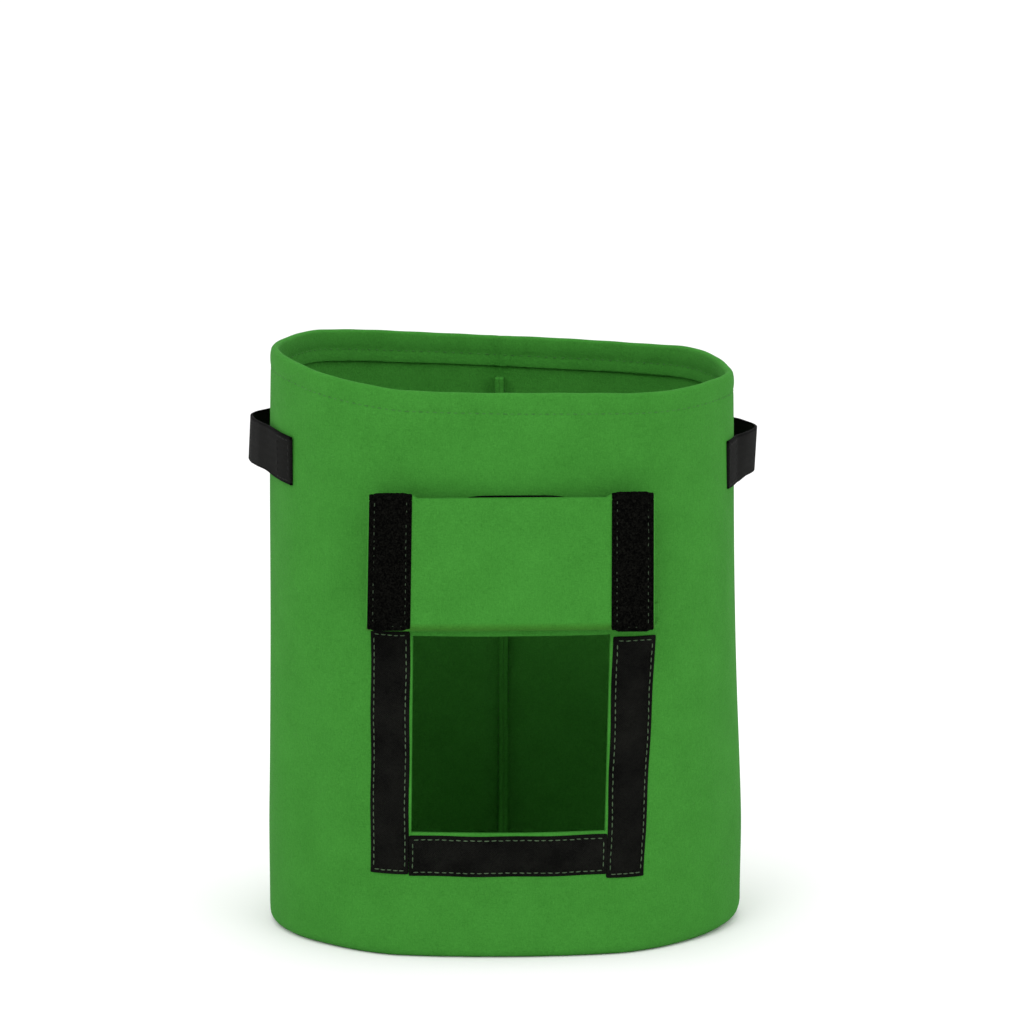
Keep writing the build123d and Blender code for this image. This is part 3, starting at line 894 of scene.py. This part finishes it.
def flap_piece(name, place, s, t, material, slot_name, **settings):
    """A strip of cloth with its material and body; the slot name is not used. What finish_piece doesn't take
    goes to slab.
    """
    kept = {k: settings.pop(k) for k in ("body", "replaces", "blend") if k in settings}
    return finish_piece(slab(name, place, s, t, **settings), material, slot_name, **kept)


def strip_place(s, t, out):
    return wall(along_at(s), t, out + STRIP_RAISED)


seam_strip = flap_piece(
    "flap_seam_strip_felt", strip_place, XS, edge_steps(HINGE_FOLD_Z, STRIP_TOP, 2.0), FELT_GREEN, "felt",
    thickness=FLAP_FELT, joined="t0", replaces=["flap_seam_strip"],
)
half_row = FLAP_HALF - MARGIN
seam_rows = [(x, z, 1, 0) for z in STRIP_STITCH_Z for x in spaced(-half_row, half_row)]
sewn("flap_seam_stitching", seam(strip_place, seam_rows, FLAP_FELT), THREAD_GREEN)
# The roll over the window's head, in felt with painted shade along its underside
fold_felts.append(flap_piece(
    "flap_hinge_fold", hinge_fold, XS, np.linspace(0, math.pi, 17), FELT_PAINTED_SHADE, "felt",
    thickness=FLAP_FELT, joined="t0 t1",
    blend=("bag", "flap_upper", *[(0, y, HINGE_FOLD_Z) for y in HINGE_BLEND_Y]),
))

# Each length of the flap: its middle's y, from and to in z, the way its tapes face, and its joined
# edges, its felt's and then its side tapes'
LAYERS = {
    "upper": (UPPER_Y, HINGE_FOLD_Z, FLAP_TOP_Z, 1, "t0 t1", "t1"),
    "middle": (MIDDLE_Y, FLAP_INNER_Z, FLAP_TOP_Z, -1, "t0 t1", "t0 t1"),
    "lower": (LOWER_Y, FLAP_INNER_Z, FLAP_TOP_Z - 0.4, 1, "t0", "t0"),
}
BOTTOM_TAPE_SPAN = (-TAPE_INNER + 0.2, TAPE_INNER - 0.2)
for layer, (y, low, high, facing, joined, tape_joined) in LAYERS.items():
    body = f"flap_{layer}"
    bows = FREE_EDGE_BOW if layer == "lower" else 0.0
    flap_felts[layer] = flap_piece(
        f"{body}_felt", flap_layer(y + HALF_FELT, 1, bows), XS, edge_steps(low, high, 2.5),
        FELT_GREEN, "felt", thickness=FLAP_FELT, joined=joined, corner=3.0 if layer == "lower" else 0.0,
        body=body, replaces=[f"{body}_panel"],
    )
    face = flap_layer(y - facing * HALF_FELT, facing, bows)
    sewn_places = []
    for side, (s0, s1) in TAPE_SPANS.items():
        bottom = TAPE_LOW[side] if layer == "upper" else low
        flap_tapes.append(flap_piece(
            f"{body}_tape_{side}_pile", face, edge_steps(s0, s1, 1.1), edge_steps(bottom, high, 1.1),
            LOOP_BLACK, "loop_tape", thickness=PILE_THICK if layer == "upper" else TAPE_THICK,
            sunk=TAPE_SUNK, rough=0.2, joined=tape_joined, selvedge=PILE_EDGE, overhang=0.9, corner=1.2,
            body=body, replaces=[f"{body}_tape_{side}"],
        ))
        m = PILE_MARGIN
        sides = [(s, t, 0, 1) for s in (s0 + m, s1 - m) for t in spaced(bottom + m, high - 0.5)]
        end_row = {"upper": bottom + 2, "lower": high - 2}.get(layer)
        ends = [(s, end_row, 1, 0) for s in spaced(s0 + m, s1 - m)] if end_row else []
        sewn_places += seam(face, sides, TAPE_THICK * 0.72) + seam(face, ends, TAPE_THICK * 0.8)
    if layer == "lower":
        flap_tapes.append(flap_piece(
            "flap_lower_tape_bottom_pile", face, edge_steps(*BOTTOM_TAPE_SPAN, 2.0),
            edge_steps(high - TAPE_WIDTH, high + 0.3, 1.8), LOOP_BLACK, "loop_tape",
            thickness=TAPE_THICK, sunk=TAPE_SUNK, rough=0.13, body=body, replaces=["flap_lower_tape_bottom"],
        ))
        sewn_places += seam(face, rectangle(*BOTTOM_TAPE_SPAN, high - TAPE_WIDTH, high), TAPE_THICK)
    threads = stitches(f"{body}_thread", sewn_places, width=0.62)
    # Stitches in the pile take the thread with painted shade
    finish_piece(threads, THREAD_PAINTED_SHADE_IN_PILE, "thread", body=body, replaces=[f"{body}_stitching"])

# The folds. Each is (y and z of its axis, inner radius, whether it hangs down), and its blend reaches
# about as far as its felt does.
top_inside = UPPER_FOLD_Y - UPPER_Y - HALF_FELT
inner_inside = LOWER_FOLD_Y - MIDDLE_Y - HALF_FELT
TOP_FOLD = (UPPER_FOLD_Y, FLAP_TOP_Z, top_inside, False)
TOP_TAPE_FOLD = (UPPER_FOLD_Y, FLAP_TOP_Z, top_inside + FLAP_FELT, False)
INNER_FOLD = (LOWER_FOLD_Y, FLAP_INNER_Z, inner_inside, True)


def fold_blend(upper, lower, y, z, reach):
    return (upper, lower, (0, y - reach, z), (0, y + reach, z))


TOP_BLEND = fold_blend("flap_upper", "flap_middle", UPPER_FOLD_Y, FLAP_TOP_Z, 2.6)
INNER_BLEND = fold_blend("flap_middle", "flap_lower", LOWER_FOLD_Y, FLAP_INNER_Z, 3.4)
fold_felts.append(flap_piece(
    "flap_top_fold", fold(*TOP_FOLD, pressed=TOP_PRESSED), XS, TURN, FELT_GREEN, "felt",
    thickness=FLAP_FELT, joined="t0 t1", blend=TOP_BLEND,
))
fold_felts.append(flap_piece(
    "flap_inner_fold", fold(*INNER_FOLD, squared=INNER_SQUARED), XS, TURN, FELT_GREEN, "felt",
    thickness=FLAP_FELT, joined="t0 t1", blend=INNER_BLEND,
))
for side, (s0, s1) in TAPE_SPANS.items():
    flap_tapes.append(flap_piece(
        f"flap_top_fold_tape_{side}", fold(*TOP_TAPE_FOLD), edge_steps(s0, s1, 1.1), TURN,
        LOOP_BLACK, "loop_tape", thickness=PILE_THICK, sunk=TAPE_SUNK, rough=0.2,
        selvedge=PILE_EDGE, joined="t0 t1", blend=TOP_BLEND,
    ))
    flap_tapes.append(flap_piece(
        f"flap_inner_fold_tape_{side}", fold(*INNER_FOLD, outward=-1, squared=INNER_SQUARED),
        edge_steps(s0, s1, 1.6), TURN, LOOP_BLACK, "loop_tape", thickness=TAPE_THICK, sunk=TAPE_SUNK,
        rough=0.1, selvedge=PILE_EDGE, joined="t0 t1", blend=INNER_BLEND,
    ))


# Handles: webbing on edge, sewn flat at both ends and standing off between
# For each handle: where its free run starts and ends (y), its middle's height, how its top edge leans
# out, and the plan points (y, x) of its free run, on the right side
HANDLES = {
    "left": {
        "start": -53.0, "end": 52.0, "z": 292.8, "lean": -0.8,
        "bend": [(-26, 157.2), (-8, 162.2), (5, 164.5), (14, 164.9), (23, 162.3), (36, 152.6)],
    },
    "right": {
        "start": -38.0, "end": 60.0, "z": 294.8, "lean": 0.8,
        "bend": [(-25, 157.0), (-15, 161.0), (-5, 163.9), (4, 164.6), (13, 162.9), (30, 155.5)],
    },
}
WEBBINGS = {name: webbing_material(f"webbing_{name}", given["z"]) for name, given in HANDLES.items()}


def side_x(y, out):
    """The outline's x on the right side, at these y and this far off it."""
    y = np.asarray(y, float)
    front = SIDE_CENTRE_X + np.sqrt(np.maximum((SIDE_RADIUS + out) ** 2 - (y - WIDEST_Y) ** 2, 0))
    back = np.sqrt(np.maximum((HALF_WIDTH + out) ** 2 - (y - WIDEST_Y) ** 2, 0))
    return np.where(y < WIDEST_Y, front, back)


def handle_path(start, end, bend):
    """Points of the strap's middle in plan, on the right side, at even steps along it and eased."""

    def sewn_run(y0, y1):
        return [(y, float(side_x(y, WEBBING / 2 + 0.1))) for y in np.arange(y0, y1, 1.0)]

    points = np.array(sewn_run(start - HANDLE_TAB, start) + bend + sewn_run(end, end + HANDLE_TAB))
    gaps = np.linalg.norm(np.diff(points, axis=0), axis=1)
    run = np.concatenate([[0], np.cumsum(gaps)])
    even = np.arange(0, run[-1], PATH_STEP)
    line = np.stack([np.interp(even, run, points[:, 1]), np.interp(even, run, points[:, 0])], -1)
    kernel = np.exp(-np.linspace(-2, 2, 2 * PATH_EASE + 1) ** 2)
    kernel /= kernel.sum()
    before = 2 * line[0] - line[PATH_EASE:0:-1]
    after = 2 * line[-1] - line[-2:-PATH_EASE - 2:-1]
    padded = np.concatenate([before, line, after])
    return np.stack([np.convolve(padded[:, i], kernel, "valid") for i in range(2)], -1)


def make_handle(name, side):
    given = HANDLES[name]
    line = handle_path(given["start"], given["end"], given["bend"])
    centre_z = given["z"]
    half_width = WEBBING_WIDTH / 2
    length = PATH_STEP * (len(line) - 1)
    tangent = np.gradient(line, axis=0)
    tangent /= np.linalg.norm(tangent, axis=1, keepdims=True)
    normal = np.stack([tangent[:, 1], -tangent[:, 0]], -1)
    run = np.arange(len(line)) * PATH_STEP

    def place(s, t, out):
        x = np.interp(s, run, line[:, 0]) + (out - WEBBING / 2) * np.interp(s, run, normal[:, 0])
        y = np.interp(s, run, line[:, 1]) + (out - WEBBING / 2) * np.interp(s, run, normal[:, 1])
        free = smooth((s - HANDLE_TAB) / 20) * smooth((length - HANDLE_TAB - s) / 20)
        lean = free * (t - centre_z) / half_width
        x = x + given["lean"] * lean + 0.25 * np.sin(s * 0.11) * free
        turn = turn_at(x, y) * side
        points = stacked(*settle(x * side, y, np.full_like(x, centre_z), turn))
        points[..., 2] += t - centre_z + HANDLE_DRAWN_UP * free * (centre_z + half_width - t) / WEBBING_WIDTH
        return points

    middle = float(np.interp(HANDLE_CUT_Y, line[:, 1], run))
    low, high = centre_z - half_width, centre_z + half_width
    heights = edge_steps(low, high, 2.4)
    halves = []
    # Each half: from and to along the strap, the edge they share, and from and to in y of its bend
    for part, s0, s1, joint_edge, y0, y1 in (
        ("front", 0.0, middle, "s1", given["start"] + 2, -12),
        ("back", middle, length, "s0", given["end"] - 2, 24),
    ):
        strap = slab(
            f"handle_{name}_{part}_strap", place, edge_steps(s0, s1, 2.2), heights, WEBBING,
            joined=joint_edge, corner=0.6,
        )
        nodes = [f"handle_{name}_ends", f"handle_{name}_loop"] if part == "front" else []
        bends = ("bag", f"handle_{name}", (0, y0, centre_z), (0, y1, centre_z))
        finish_piece(strap, WEBBINGS[name], "webbing", replaces=nodes, blend=bends)
        halves.append((strap, s1 - s0))
    path = rectangle(0, HANDLE_TAB - 1, low, high) + rectangle(length - HANDLE_TAB + 1, length, low, high)
    sewn(f"handle_{name}_stitching", seam(place, path, WEBBING - 0.05), THREAD_DARK, width=0.6, proud=0.22)
    return halves


handles = {name: make_handle(name, side) for name, side in (("left", -1), ("right", 1))}


for layer, (_, low, high, *_) in LAYERS.items():
    own = [tape for tape in flap_tapes if tape.name.startswith(f"flap_{layer}_")]
    folds = {"upper": fold_felts[:2], "middle": fold_felts[2:], "lower": []}[layer]
    wraps = {"upper": "flap_top_fold_tape", "middle": "flap_inner_fold_tape", "lower": "none"}[layer]
    own += folds + [tape for tape in flap_tapes if tape.name.startswith(wraps)]


# Room, light and camera
def make_room():
    mesh = bpy.data.meshes.new("floor")
    size = 6.0
    corners = [(-size, -size, 0), (size, -size, 0), (size, size, 0), (-size, size, 0)]
    mesh.from_pydata(corners, [], [(0, 1, 2, 3)])
    floor = bpy.data.objects.new("floor", mesh)
    bpy.context.scene.collection.objects.link(floor)
    r = Recipe("floor_paper")
    grain = r.noise(3.0, 3, 0.5)
    colour = r.ramp(grain, [(0.3, (0.93, 0.93, 0.93)), (0.7, (0.95, 0.95, 0.95))])
    paper = r.finish(colour, r.bump(grain, 0.0005, 0.1), roughness=0.9, specular=0.1)
    floor.data.materials.append(paper)


def area_light(name, place, target, size, power):
    light = bpy.data.lights.new(name, "AREA")
    light.shape = "DISK"
    light.size = size
    light.energy = power
    lamp = bpy.data.objects.new(name, light)
    bpy.context.scene.collection.objects.link(lamp)
    lamp.location = place
    lamp.rotation_euler = (Vector(target) - Vector(place)).to_track_quat("-Z", "Y").to_euler()


# Each lamp: its place and what it points at in metres, its size in metres and its power in watts
LAMPS = {
    "key": ((-1.3, -2.4, 2.2), (0, 0, 0.15), 1.8, 20),
    "fill": ((1.8, -2.0, 1.4), (0, 0, 0.15), 1.8, 10),
    "top": ((0, 0.3, 2.6), (0, 0, 0.1), 1.6, 8),
}
WORLD_STRENGTH = 1.12


def make_light():
    world = bpy.data.worlds.new("studio")
    world.use_nodes = True
    background = world.node_tree.nodes["Background"]
    background.inputs["Color"].default_value = (1, 1, 1, 1)
    background.inputs["Strength"].default_value = WORLD_STRENGTH
    bpy.context.scene.world = world
    for name, settings in LAMPS.items():
        area_light(name, *settings)


# The camera's distance and height in metres, its turns in degrees, and its lens in millimetres
CAMERA_DISTANCE = 2.857
CAMERA_HEIGHT = 0.714
CAMERA_TURNS = (-0.73, -0.09, 9.08, -0.22)
CAMERA_LENS = 160.8
CAMERA_SENSOR = 36


def make_camera():
    """The photograph's view: far off, nearly from the middle and from a little above."""
    yaw, pan, pitch, roll = (math.radians(a) for a in CAMERA_TURNS)
    camera = bpy.data.cameras.new("camera")
    camera.lens = CAMERA_LENS
    camera.sensor_width = CAMERA_SENSOR
    camera.dof.use_dof = False
    seen = bpy.data.objects.new("camera", camera)
    bpy.context.scene.collection.objects.link(seen)
    seen.location = (CAMERA_DISTANCE * math.sin(yaw), -CAMERA_DISTANCE * math.cos(yaw), CAMERA_HEIGHT)
    heading = Vector(
        (-math.sin(yaw + pan) * math.cos(pitch), math.cos(yaw + pan) * math.cos(pitch), -math.sin(pitch))
    )
    turned = heading.to_track_quat("-Z", "Y").to_matrix()
    seen.rotation_euler = (turned @ Matrix.Rotation(roll, 3, "Z")).to_euler()
    bpy.context.scene.camera = seen


make_room()
make_light()
make_camera()
bpy.context.scene.view_settings.view_transform = "Standard"
